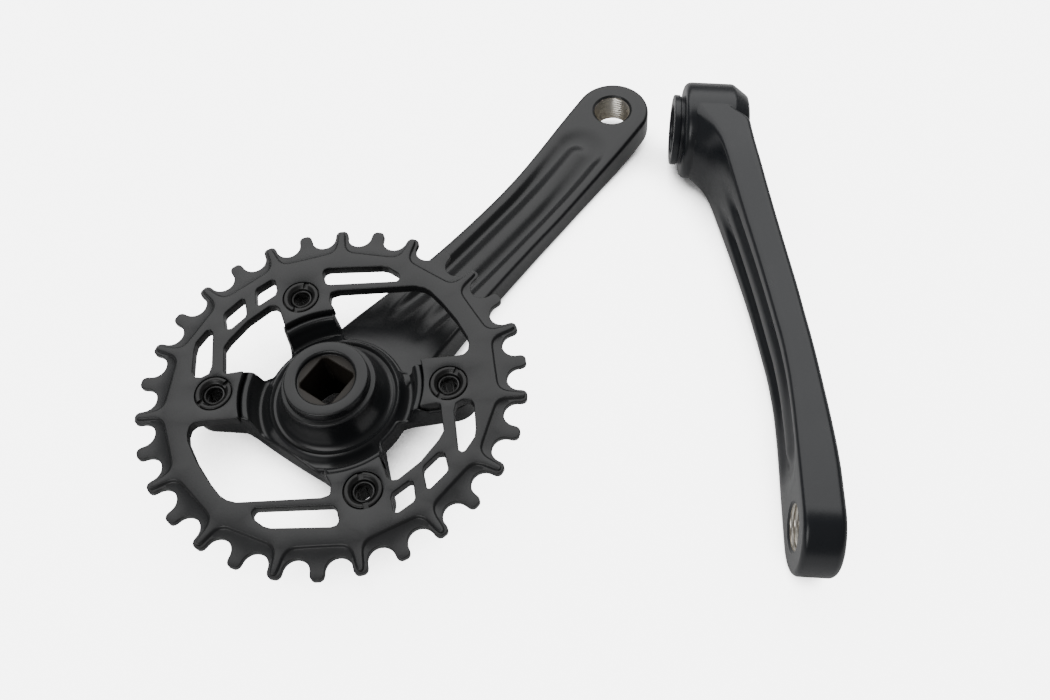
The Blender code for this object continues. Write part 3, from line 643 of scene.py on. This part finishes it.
def chainring_shell():
    """Walls round every outline, then four flat fills: the plate's two faces and the thin rim's two.
    At its edge the thick plate slopes down to the rim."""
    thick, thin = 1.9, 1.05
    s = Shell()
    slope = [(1.1, thick), (0.85, thick - 0.06), (0.62, thick - 0.2), (0.42, thick - 0.46),
             (0.22, thick - 0.72), (0.0, thin)]
    plate = plate_line()
    angle = np.arctan2(plate[:, 1], plate[:, 0])
    off_axis = np.abs((angle / STEP) % 2 - 1) * STEP * np.hypot(*plate.T)
    narrow = np.clip(0.5 * off_axis, 0.25, 1.0)[:, None]
    top_in, top_out = s.wall(plate, slope, 1, narrow)
    low_in, low_out = s.wall(plate, [(d, -z) for d, z in slope], 1, narrow)
    s.bands[-len(slope) + 1:] = [b[:, ::-1] for b in s.bands[-len(slope) + 1:]]
    rim_top, rim_low = s.wall(tooth_line(), edge_profile(thin, -thin, 0.3), 1)
    holes = [s.wall(even(OPENING, 0.45), edge_profile(thick, -thick, 0.4), -1)]
    holes += [s.wall(w, edge_profile(thick, -thick, 0.4), -1) for w in WINDOWS]
    for a in BOLTS:
        ring = polar(np.linspace(0, 2 * np.pi, 64, endpoint=False), 1.0)
        centre = polar(a, BOLT_R)
        seat = [(0.22, thick), (0.06, thick - 0.08), (0.0, thick - 0.25), (0.0, 0.3)]
        hole = centre + ring * 6.2
        holes.append(s.wall(hole, seat + [(-1.0, 0.3), (-1.0, -thick + 0.3), (-0.7, -thick)], -1))
    s.fill([top_in] + [h[0] for h in holes], True)
    s.fill([low_in] + [h[1] for h in holes], False)
    s.fill([rim_top, top_out], True)
    s.fill([rim_low, low_out], False)
    return s


ring_shell = chainring_shell()
triangles = [b for b in ring_shell.bands if b.shape[1] == 3]
quads = [b for b in ring_shell.bands if b.shape[1] == 4]
chainring = make_mesh("chainring_surface", np.vstack(ring_shell.points),
                      [np.vstack(quads), np.vstack(triangles)], DRIVE)
print("chainring faces:", len(chainring.data.polygons))

# %% [markdown]
# ## Sleeve nuts and bolts
# A sleeve nut is a thin flange on a tube that is threaded inside. Two notches across the flange take a
# pin spanner. Notches have parallel sides, so the columns near them are spaced by distance and not by
# angle. The bolt comes up from the outboard side with a hexagon all the way through it.

# %% turned fasteners
NOTCH_HALF = 0.85
NUT_PITCH = 0.75


def closed_ring(name, radius, height, angle, place):
    """Grid whose rows and columns both close: a solid with a hole through it."""
    points = np.stack([radius * np.cos(angle), radius * np.sin(angle), height], -1)
    return make_mesh(name, points, [grid_faces(*radius.shape, True)], place)


def sleeve_nut(number, turn):
    """Rows run up the threaded bore, over the bevelled flange, down the sleeve and back. Seven
    columns lie across each of two opposite notches, where the flange stays low."""
    bore = [(4.0, z) for z in np.arange(-5.1, 1.2, 0.125)]
    outer = [(4.15, 1.35), (4.55, 1.8), (4.75, 1.95), (4.95, 2.0), (5.2, 2.0), (5.45, 2.0),
             (5.65, 1.96), (5.8, 1.86), (5.88, 1.7), (5.9, 1.5), (5.9, 0.95), (5.8, 0.75),
             (4.95, 0.7), (4.9, 0.6), (4.9, -5.2), (4.75, -5.5), (4.45, -5.6), (4.15, -5.45)]
    r, z = np.array(bore + outer).T
    r, z = r[:, None], z[:, None]
    lane = np.linspace(-1, 1, 7)
    rest = np.linspace(0, 1, 40)[None, :]
    near = np.arcsin(np.clip(NOTCH_HALF * lane[None, :] / r, -1, 1))
    span = np.pi - 2 * np.arcsin(np.clip(NOTCH_HALF / r, 0, 1))
    start = np.arcsin(NOTCH_HALF / r)
    half = np.hstack([near, start + span * rest])
    angle = np.hstack([half, half + np.pi]) + math.radians(turn)
    notch = np.tile(np.concatenate([np.ones(7), np.zeros(40)]), 2)[None, :] > 0
    phase = (z / NUT_PITCH - angle / (2 * np.pi)) % 1.0
    threaded = (np.arange(len(r)) < len(bore))[:, None]
    radius = r + np.where(threaded, 0.3 * (np.abs(2 * phase - 1) - 0.5), 0.0)
    height = np.where(notch, np.minimum(z, 1.05), z) + 0 * angle
    return closed_ring(f"chainring_nut_{number}_surface", radius, height, angle,
                       at_bolt(BOLTS[number - 1]))


def ring_bolt(number, turn):
    """Outer rows are circles and inner rows a hexagon of 4.6 mm that opens into a short round bore."""
    angle = (2 * np.pi * np.arange(96) / 96)[None, :]
    hexagon = 2.3 / np.cos((angle + math.radians(turn)) % (np.pi / 3) - np.pi / 6)
    outer = [(2.95, 0.7), (3.2, 0.66), (3.45, 0.5), (3.6, 0.25), (3.6, -8.0), (3.75, -8.1), (5.7, -8.1),
             (5.9, -8.2), (6.0, -8.4), (6.0, -9.3), (5.9, -9.75), (5.6, -10.0), (5.0, -10.1),
             (3.6, -10.1), (3.2, -10.05)]
    r, z = np.array(outer).T
    bore = np.full((2, 96), 2.75)
    rows_r = np.vstack([np.broadcast_to(r[:, None], (len(r), 96)), hexagon + 0.25, hexagon, hexagon,
                        bore])
    heights = np.concatenate([z, [-9.95, -9.6, -1.5, -1.45, 0.5]])[:, None] + 0 * angle
    return closed_ring(f"chainring_bolt_{number}_surface", rows_r, heights, angle + 0 * rows_r,
                       at_bolt(BOLTS[number - 1]))


nuts = [sleeve_nut(k + 1, turn) for k, turn in enumerate((20.0, -14.0, 48.0, 5.0))]
bolts = [ring_bolt(k + 1, turn) for k, turn in enumerate((8.0, 31.0, 17.0, 44.0))]
print("nut faces", len(nuts[0].data.polygons), "bolt faces", len(bolts[0].data.polygons))

# %% [markdown]
# ## Where edges are
# Paint and anodising are thinnest on sharp edges, so they wear there first. The mesh itself knows
# where those are: at an edge the neighbours of a point all lie below its normal. That is measured once
# for each point and kept as an attribute, which a material can read.

# %% measure the edges and finish a piece
def mark_edges(piece, reach=0.0006):
    """edge = how far the neighbours lie below each point's normal, for their distance, 0 to 1."""
    mesh = piece.data
    n = len(mesh.vertices)
    co, no = np.zeros(n * 3), np.zeros(n * 3)
    mesh.vertices.foreach_get("co", co)
    mesh.vertices.foreach_get("normal", no)
    co, no = co.reshape(-1, 3), no.reshape(-1, 3)
    ends = np.zeros(len(mesh.edges) * 2, int)
    mesh.edges.foreach_get("vertices", ends)
    a, b = ends.reshape(-1, 2).T
    d = co[b] - co[a]
    length = np.maximum(np.linalg.norm(d, axis=1), 1e-7)
    weight = np.minimum(length, reach)
    total, share = np.zeros(n), np.zeros(n)
    for p, sign in ((a, -1.0), (b, 1.0)):
        total += np.bincount(p, weight * sign * np.sum(d * no[p], 1) / length ** 2 * reach, n)
        share += np.bincount(p, weight, n)
    value = total / np.maximum(share, 1e-9)
    for _ in range(2):
        mean = (np.bincount(a, value[b], n) + np.bincount(b, value[a], n)) / np.maximum(
            np.bincount(a, minlength=n) + np.bincount(b, minlength=n), 1)
        value = 0.5 * value + 0.5 * mean
    layer = mesh.attributes.new("edge", "FLOAT", "POINT")
    layer.data.foreach_set("value", np.clip(value * 2.2, 0.0, 1.0).astype(np.float32))


def finish(piece, body, nodes, angle=34.0):
    """Smooth shading with true corners kept sharp, then its place in the frame's table."""
    mesh = piece.data
    mesh.shade_smooth()
    mesh.set_sharp_from_angle(angle=math.radians(angle))
    mark_edges(piece)
    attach(piece, body)
    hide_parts(*nodes)


finish(drive_crank, "drive_crank", ["drive_crank_arm"])
finish(chainring, "drive_crank", ["chainring"])
finish(left_crank, "left_crank", ["left_crank_arm"])
for k in range(4):
    finish(nuts[k], f"nut_{k + 1}", [f"chainring_nut_{k + 1}"])
    finish(bolts[k], f"bolt_{k + 1}", [f"chainring_bolt_{k + 1}"])
print("pieces in place:", 3 + len(nuts) + len(bolts))

# %% [markdown]
# ## Finishes
# All the aluminium is black, but no two pieces shine alike. Three effects make the difference, and each
# is a node group so that every finish can use it with its own numbers: a fine grain from
# blasting before the coating, a slow drift in gloss where the coat is thicker or has been handled, and
# wear that follows the edges.

# %% shader helpers
def new_group(name, inputs, outputs):
    """An empty node group with named number inputs and outputs."""
    tree = bpy.data.node_groups.new(name, "ShaderNodeTree")
    for label, value in inputs:
        socket = tree.interface.new_socket(label, in_out="INPUT", socket_type="NodeSocketFloat")
        socket.default_value = value
    for label in outputs:
        tree.interface.new_socket(label, in_out="OUTPUT", socket_type="NodeSocketFloat")
    return tree, tree.nodes.new("NodeGroupInput"), tree.nodes.new("NodeGroupOutput")


def math_node(tree, operation, a, b, clamp=False):
    """A Math node; a and b are sockets or numbers."""
    node = tree.nodes.new("ShaderNodeMath")
    node.operation = operation
    node.use_clamp = clamp
    for slot, value in zip(node.inputs, (a, b)):
        if isinstance(value, (int, float)):
            slot.default_value = value
        else:
            tree.links.new(value, slot)
    return node.outputs[0]


def noise(tree, scale, detail=2.0, roughness=0.5):
    """Noise on object coordinates; scale is a number or a socket, in cells per metre."""
    where = tree.nodes.new("ShaderNodeTexCoord")
    node = tree.nodes.new("ShaderNodeTexNoise")
    node.inputs["Detail"].default_value = detail
    node.inputs["Roughness"].default_value = roughness
    if isinstance(scale, (int, float)):
        node.inputs["Scale"].default_value = scale
    else:
        tree.links.new(scale, node.inputs["Scale"])
    tree.links.new(where.outputs["Object"], node.inputs["Vector"])
    return node.outputs["Fac"]


# %% [markdown]
# Each effect puts out one number. Grain is a height, drift is a roughness, and wear is a mask between
# the coat and the metal under it. All three read object coordinates, so nothing slides as a piece moves.

# %% the three shared effects
def make_grain():
    """Height = fine noise plus a coarser one, as a blasted and then coated surface has."""
    tree, source, sink = new_group("blasted_grain", [("Scale", 3200.0), ("Coarse Scale", 700.0),
                                                     ("Coarse Share", 0.35)], ["Height"])
    fine = noise(tree, source.outputs["Scale"], 3.0, 0.6)
    coarse = noise(tree, source.outputs["Coarse Scale"], 2.0)
    mixed = math_node(tree, "ADD", fine, math_node(tree, "MULTIPLY", coarse,
                                                   source.outputs["Coarse Share"]))
    tree.links.new(mixed, sink.inputs["Height"])
    return tree


def make_drift():
    """Roughness = base + slow drift + a few rubbed spots where a stretched noise peaks."""
    tree, source, sink = new_group("gloss_drift", [("Base", 0.4), ("Drift", 0.1), ("Rubbed", 0.1)],
                                   ["Roughness", "Spots"])
    slow = math_node(tree, "SUBTRACT", noise(tree, 38.0, 3.0, 0.55), 0.5)
    value = math_node(tree, "ADD", source.outputs["Base"],
                      math_node(tree, "MULTIPLY", slow, source.outputs["Drift"]))
    peak = math_node(tree, "MULTIPLY", math_node(tree, "SUBTRACT", noise(tree, 120.0, 4.0, 0.6), 0.58),
                     6.0, True)
    value = math_node(tree, "SUBTRACT", value,
                      math_node(tree, "MULTIPLY", peak, source.outputs["Rubbed"]))
    tree.links.new(value, sink.inputs["Roughness"])
    tree.links.new(peak, sink.inputs["Spots"])
    return tree


def make_wear():
    """Mask = measured edge above a threshold, broken up by noise."""
    tree, source, sink = new_group("edge_wear", [("Threshold", 0.35), ("Break Up", 0.5),
                                                 ("Amount", 1.0)], ["Mask"])
    edge = tree.nodes.new("ShaderNodeAttribute")
    edge.attribute_name = "edge"
    broken = math_node(tree, "MULTIPLY", noise(tree, 420.0, 4.0, 0.65), source.outputs["Break Up"])
    over = math_node(tree, "SUBTRACT", edge.outputs["Fac"],
                     math_node(tree, "ADD", source.outputs["Threshold"], broken))
    mask = math_node(tree, "MULTIPLY", math_node(tree, "MULTIPLY", over, 3.0, True),
                     source.outputs["Amount"], True)
    tree.links.new(mask, sink.inputs["Mask"])
    return tree


GRAIN, DRIFT, WEAR = make_grain(), make_drift(), make_wear()
print("effects:", [g.name for g in (GRAIN, DRIFT, WEAR)])


# %% [markdown]
# The coat itself is a Principled shader. Black anodising or paint has hardly any colour, so the
# difference between the pieces is in the roughness and the grain: the ring has the strongest grain,
# the levers have more sheen, and the nuts and bolts have a thin clear oil film. The bare metal is in
# the tapped pedal eyes. In the square sockets its brown-grey is darkened almost to black as painted
# shade.

# %% a coated metal finish
def place_group(tree, group, **values):
    """Puts a shared effect into a material and sets its numbers."""
    node = tree.nodes.new("ShaderNodeGroup")
    node.node_tree = group
    for label, value in values.items():
        node.inputs[label.replace("_", " ")].default_value = value
    return node


def coated(name, colour, worn, base, drift, grain_scale, bump, amount, metallic=0.0, coat=0.0):
    """Dark coat over metal: worn colour where the edges are rubbed, drifting gloss, fine grain."""
    made = bpy.data.materials.new(name)
    made.use_nodes = True
    tree = made.node_tree
    shader = tree.nodes["Principled BSDF"]
    shader.inputs["Metallic"].default_value = metallic
    shader.inputs["Coat Weight"].default_value = coat
    shader.inputs["Coat Roughness"].default_value = 0.22
    wear = place_group(tree, WEAR, Threshold=0.30, Break_Up=0.45, Amount=amount)
    gloss = place_group(tree, DRIFT, Base=base, Drift=drift, Rubbed=0.05)
    grain = place_group(tree, GRAIN, Scale=grain_scale, Coarse_Scale=grain_scale * 0.22,
                        Coarse_Share=0.4)
    mix = tree.nodes.new("ShaderNodeMix")
    mix.data_type = "RGBA"
    mix.inputs["A"].default_value = (*colour, 1.0)
    mix.inputs["B"].default_value = (*worn, 1.0)
    tree.links.new(wear.outputs["Mask"], mix.inputs["Factor"])
    tree.links.new(mix.outputs["Result"], shader.inputs["Base Color"])
    tree.links.new(gloss.outputs["Roughness"], shader.inputs["Roughness"])
    height = tree.nodes.new("ShaderNodeBump")
    height.inputs["Strength"].default_value = bump
    height.inputs["Distance"].default_value = 0.00004
    tree.links.new(grain.outputs["Height"], height.inputs["Height"])
    tree.links.new(height.outputs["Normal"], shader.inputs["Normal"])
    return made


def bare_metal(name, colour, roughness, metallic=1.0):
    """Machined aluminium: colour and gloss drift, faint tool grain. Its metallic value is given; the
    square socket's low one, with its near-black colour, is painted shade.
    """
    made = bpy.data.materials.new(name)
    made.use_nodes = True
    tree = made.node_tree
    shader = tree.nodes["Principled BSDF"]
    shader.inputs["Metallic"].default_value = metallic
    gloss = place_group(tree, DRIFT, Base=roughness, Drift=0.25, Rubbed=0.1)
    grain = place_group(tree, GRAIN, Scale=1500.0, Coarse_Scale=300.0, Coarse_Share=0.6)
    mix = tree.nodes.new("ShaderNodeMix")
    mix.data_type = "RGBA"
    mix.inputs["A"].default_value = (*colour, 1.0)
    mix.inputs["B"].default_value = (*[0.6 * c for c in colour], 1.0)
    tree.links.new(gloss.outputs["Spots"], mix.inputs["Factor"])
    tree.links.new(mix.outputs["Result"], shader.inputs["Base Color"])
    tree.links.new(gloss.outputs["Roughness"], shader.inputs["Roughness"])
    height = tree.nodes.new("ShaderNodeBump")
    height.inputs["Strength"].default_value = 0.3
    height.inputs["Distance"].default_value = 0.00006
    tree.links.new(grain.outputs["Height"], height.inputs["Height"])
    tree.links.new(height.outputs["Normal"], shader.inputs["Normal"])
    return made


DRIVE_BLACK = coated("drive_satin_black", (0.010, 0.0108, 0.012), (0.05, 0.05, 0.052), 0.32, 0.10,
                     2600.0, 0.35, 0.35)
LEFT_BLACK = coated("left_satin_black", (0.009, 0.0105, 0.0135), (0.05, 0.05, 0.052), 0.31, 0.10,
                    2600.0, 0.30, 0.35)
RING_BLACK = coated("ring_matt_black", (0.014, 0.0145, 0.0155), (0.06, 0.06, 0.06), 0.36, 0.12,
                    2200.0, 0.5, 0.4)
NUT_BLACK = coated("nut_black_oxide", (0.016, 0.016, 0.016), (0.10, 0.10, 0.10), 0.36, 0.12,
                   2600.0, 0.3, 0.5, 0.3)
BOLT_BLACK = coated("bolt_black_oxide", (0.012, 0.012, 0.012), (0.10, 0.10, 0.10), 0.38, 0.12,
                    2600.0, 0.3, 0.4, 0.3)
THREAD_METAL = bare_metal("tapped_aluminium", (0.66, 0.63, 0.57), 0.30)
# The socket's brown-grey aluminium is darkened almost to black and made barely metallic: painted shade
# of the recess.
SOCKET_SHADE_METAL = bare_metal("broached_aluminium_painted_shade", (0.020, 0.016, 0.012), 0.5, 0.15)


# %% [markdown]
# Holes get their own finish by geometry: a face whose corners all lie within a hole's radius is inside
# that hole. This gives a clean round edge, which a painted mask would not.

# %% put the finishes on
def dress(piece, *materials):
    """Gives a piece its finishes, in the order of their slots."""
    piece.data.materials.clear()
    for one in materials:
        piece.data.materials.append(one)


def bare_inside(piece, place):
    """Second finish on faces inside the pedal thread, third on those inside the square socket. A face
    belongs to a hole when all its corners are within the hole's radius."""
    mesh = piece.data
    n = len(mesh.vertices)
    co = np.zeros(n * 3)
    mesh.vertices.foreach_get("co", co)
    back = np.array(place.inverted())
    local = (co.reshape(-1, 3) @ back[:3, :3].T + back[:3, 3]) / MM
    in_eye = (np.hypot(local[:, 0] - LENGTH, local[:, 1]) < 7.7)
    in_socket = (np.hypot(local[:, 0], local[:, 1]) < 9.2) & (np.abs(local[:, 2] + 1.75) < 8.85)
    ends = np.zeros(len(mesh.loops), int)
    mesh.loops.foreach_get("vertex_index", ends)
    first = np.zeros(len(mesh.polygons), int)
    mesh.polygons.foreach_get("loop_start", first)
    index = np.zeros(len(mesh.polygons), np.int32)
    index[np.logical_and.reduceat(in_eye[ends], first)] = 1
    index[np.logical_and.reduceat(in_socket[ends], first)] = 2
    mesh.polygons.foreach_set("material_index", index)
    return int(np.sum(index > 0))


dress(drive_crank, DRIVE_BLACK, THREAD_METAL, SOCKET_SHADE_METAL)
dress(left_crank, LEFT_BLACK, THREAD_METAL, SOCKET_SHADE_METAL)
dress(chainring, RING_BLACK)
for k in range(4):
    dress(nuts[k], NUT_BLACK)
    dress(bolts[k], BOLT_BLACK)
print("bare faces:", bare_inside(drive_crank, DRIVE), bare_inside(left_crank, LEFT))

# %% [markdown]
# ## The studio
# A pale floor, one broad soft light above and behind, a weaker one at the front, and a soft grey sky.
# Black satin shows hardly any colour of its own. What the eye reads is the light's reflection, so the
# broad light sits where the flat faces mirror it towards the camera. The floor has to look white
# beside black metal without lighting it from below. So it glows for the camera only, and its glow is
# cut where something stands close over it, which paints a soft shadow on it.

# %% floor, lights and camera
floor_mesh = bpy.data.meshes.new("studio_floor")
floor_mesh.from_pydata([(-4, -4, -0.0003), (4, -4, -0.0003), (4, 4, -0.0003), (-4, 4, -0.0003)], [],
                       [(0, 1, 2, 3)])
floor = bpy.data.objects.new("studio_floor", floor_mesh)
scene.collection.objects.link(floor)
floor_paint = bpy.data.materials.new("pale_floor")
floor_paint.use_nodes = True
floor_shader = floor_paint.node_tree.nodes["Principled BSDF"]
floor_shader.inputs["Base Color"].default_value = (0.93, 0.93, 0.93, 1.0)
floor_shader.inputs["Roughness"].default_value = 0.9
floor_shader.inputs["Specular IOR Level"].default_value = 0.1
floor_shader.inputs["Emission Color"].default_value = (1.0, 1.0, 1.0, 1.0)
floor_tree = floor_paint.node_tree
seen = floor_tree.nodes.new("ShaderNodeLightPath")
open_sky = floor_tree.nodes.new("ShaderNodeAmbientOcclusion")
open_sky.inputs["Distance"].default_value = 0.03
# Glow scaled by ambient occlusion: a painted shadow under and beside the pieces.
floor_glow_with_painted_shadow = math_node(floor_tree, "SUBTRACT", open_sky.outputs["AO"], 0.25)
floor_glow_with_painted_shadow = math_node(floor_tree, "MULTIPLY", floor_glow_with_painted_shadow, 2.8, True)
floor_glow_with_painted_shadow = math_node(floor_tree, "MULTIPLY", floor_glow_with_painted_shadow, 5.5)
floor_glow_with_painted_shadow = math_node(floor_tree, "MULTIPLY", seen.outputs["Is Camera Ray"], floor_glow_with_painted_shadow)
floor_tree.links.new(floor_glow_with_painted_shadow, floor_shader.inputs["Emission Strength"])
dress(floor, floor_paint)


def soft_light(name, place, target, width, depth, power, colour=(1, 1, 1)):
    """A rectangular area light at place, facing target."""
    data = bpy.data.lights.new(name, "AREA")
    data.shape = "RECTANGLE"
    data.size, data.size_y = width, depth
    data.energy, data.color = power, colour
    lamp = bpy.data.objects.new(name, data)
    scene.collection.objects.link(lamp)
    aim = Matrix.Translation(place).translation
    way = (Matrix.Translation(target).translation - aim).normalized()
    lamp.matrix_world = Matrix.Translation(place) @ way.to_track_quat("-Z", "Y").to_matrix().to_4x4()
    return lamp


soft_light("broad_light", (0.0, 0.72, 1.08), (0, 0, 0), 2.5, 1.4, 20.0)
soft_light("front_light", (-0.6, -0.9, 0.9), (0, 0, 0), 0.8, 0.8, 6.0)
sky = bpy.data.worlds.new("soft_sky")
sky.use_nodes = True
sky.node_tree.nodes["Background"].inputs["Color"].default_value = (1.0, 1.0, 1.0, 1.0)
sky.node_tree.nodes["Background"].inputs["Strength"].default_value = 0.17
scene.world = sky

lens = bpy.data.cameras.new("camera")
lens.lens, lens.sensor_width, lens.clip_start = 36.0, 36.0, 0.01
camera = bpy.data.objects.new("camera", lens)
scene.collection.objects.link(camera)
camera.location = (0.0152, -0.2376, 0.29948)
camera.rotation_euler = (math.radians(36.66), 0.0, 0.0)
scene.camera = camera
print("camera looks down", round(90 - 36.66, 1), "degrees")

# %% [markdown]
# Last, the view layer is brought up to date, so that every piece stands in its place.

# %% finish
bpy.context.view_layer.update()
